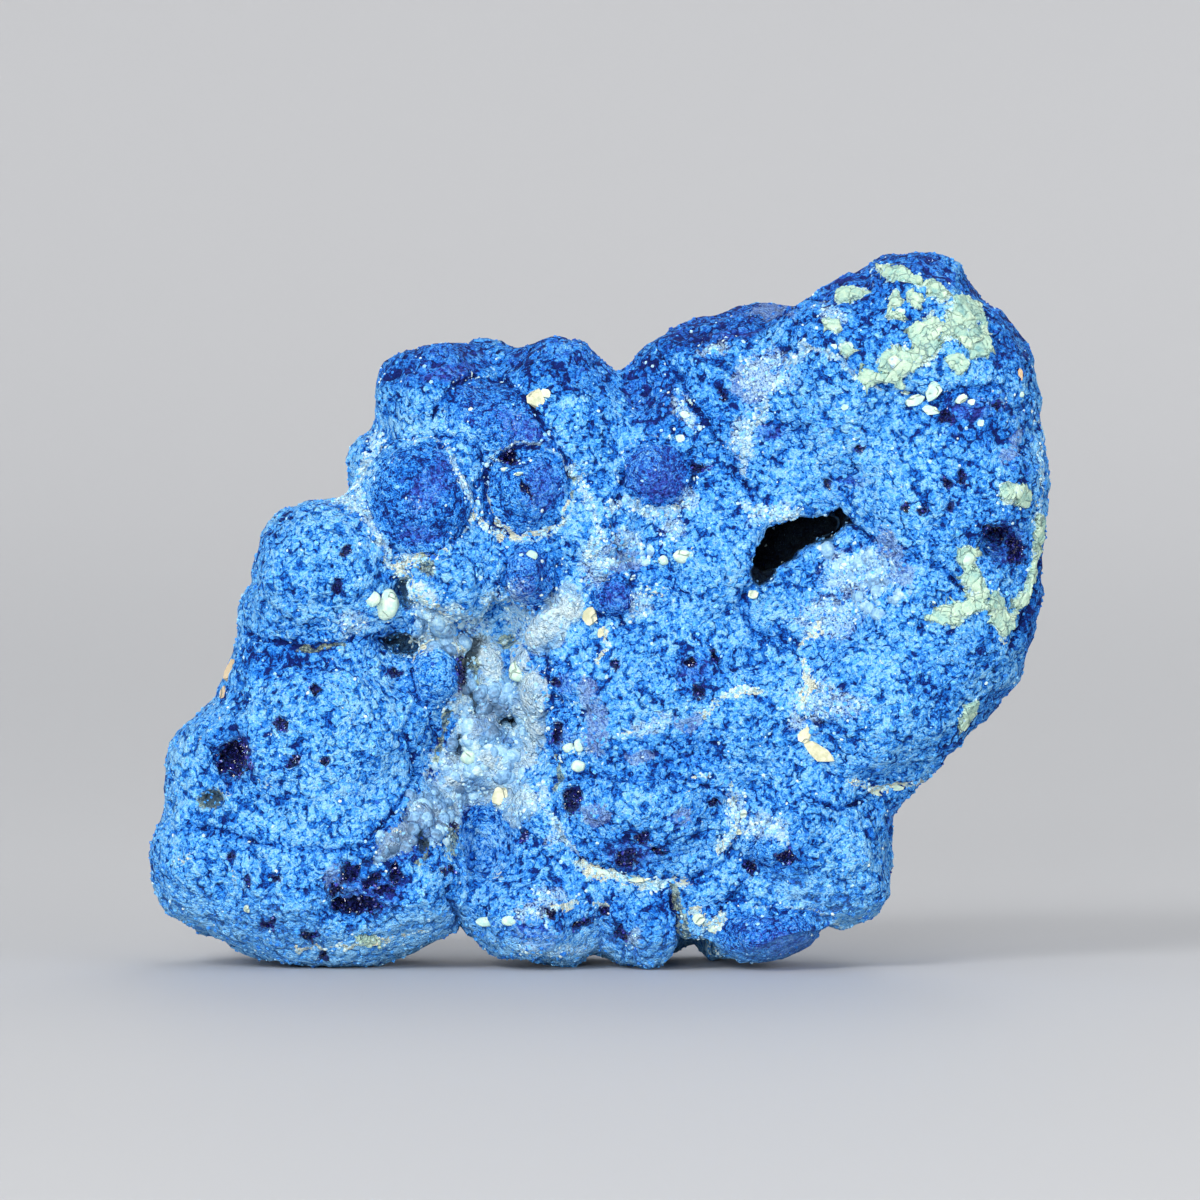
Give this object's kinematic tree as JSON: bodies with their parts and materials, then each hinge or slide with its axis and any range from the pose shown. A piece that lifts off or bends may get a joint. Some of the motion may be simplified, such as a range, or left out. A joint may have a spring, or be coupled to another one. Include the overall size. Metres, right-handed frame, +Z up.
{
  "type": "azurite specimen",
  "caption": "Free-standing mineral specimen: rounded nodules of blue azurite grown together, with a broken front face, a cave, vugs and a pale gully.",
  "frame": {"origin": "middle of the specimen's bounding box in plan, at the level of the worn flats that it stands on", "axes": "+X to the right across the broken front face, +Y towards the back, +Z up"},
  "size_m": [0.11, 0.0432, 0.0872],
  "materials": {
    "azurite": "dull, granular and porous"
  },
  "bodies": {
    "root": {"azurite_specimen": "azurite"}
  },
  "joints": []
}
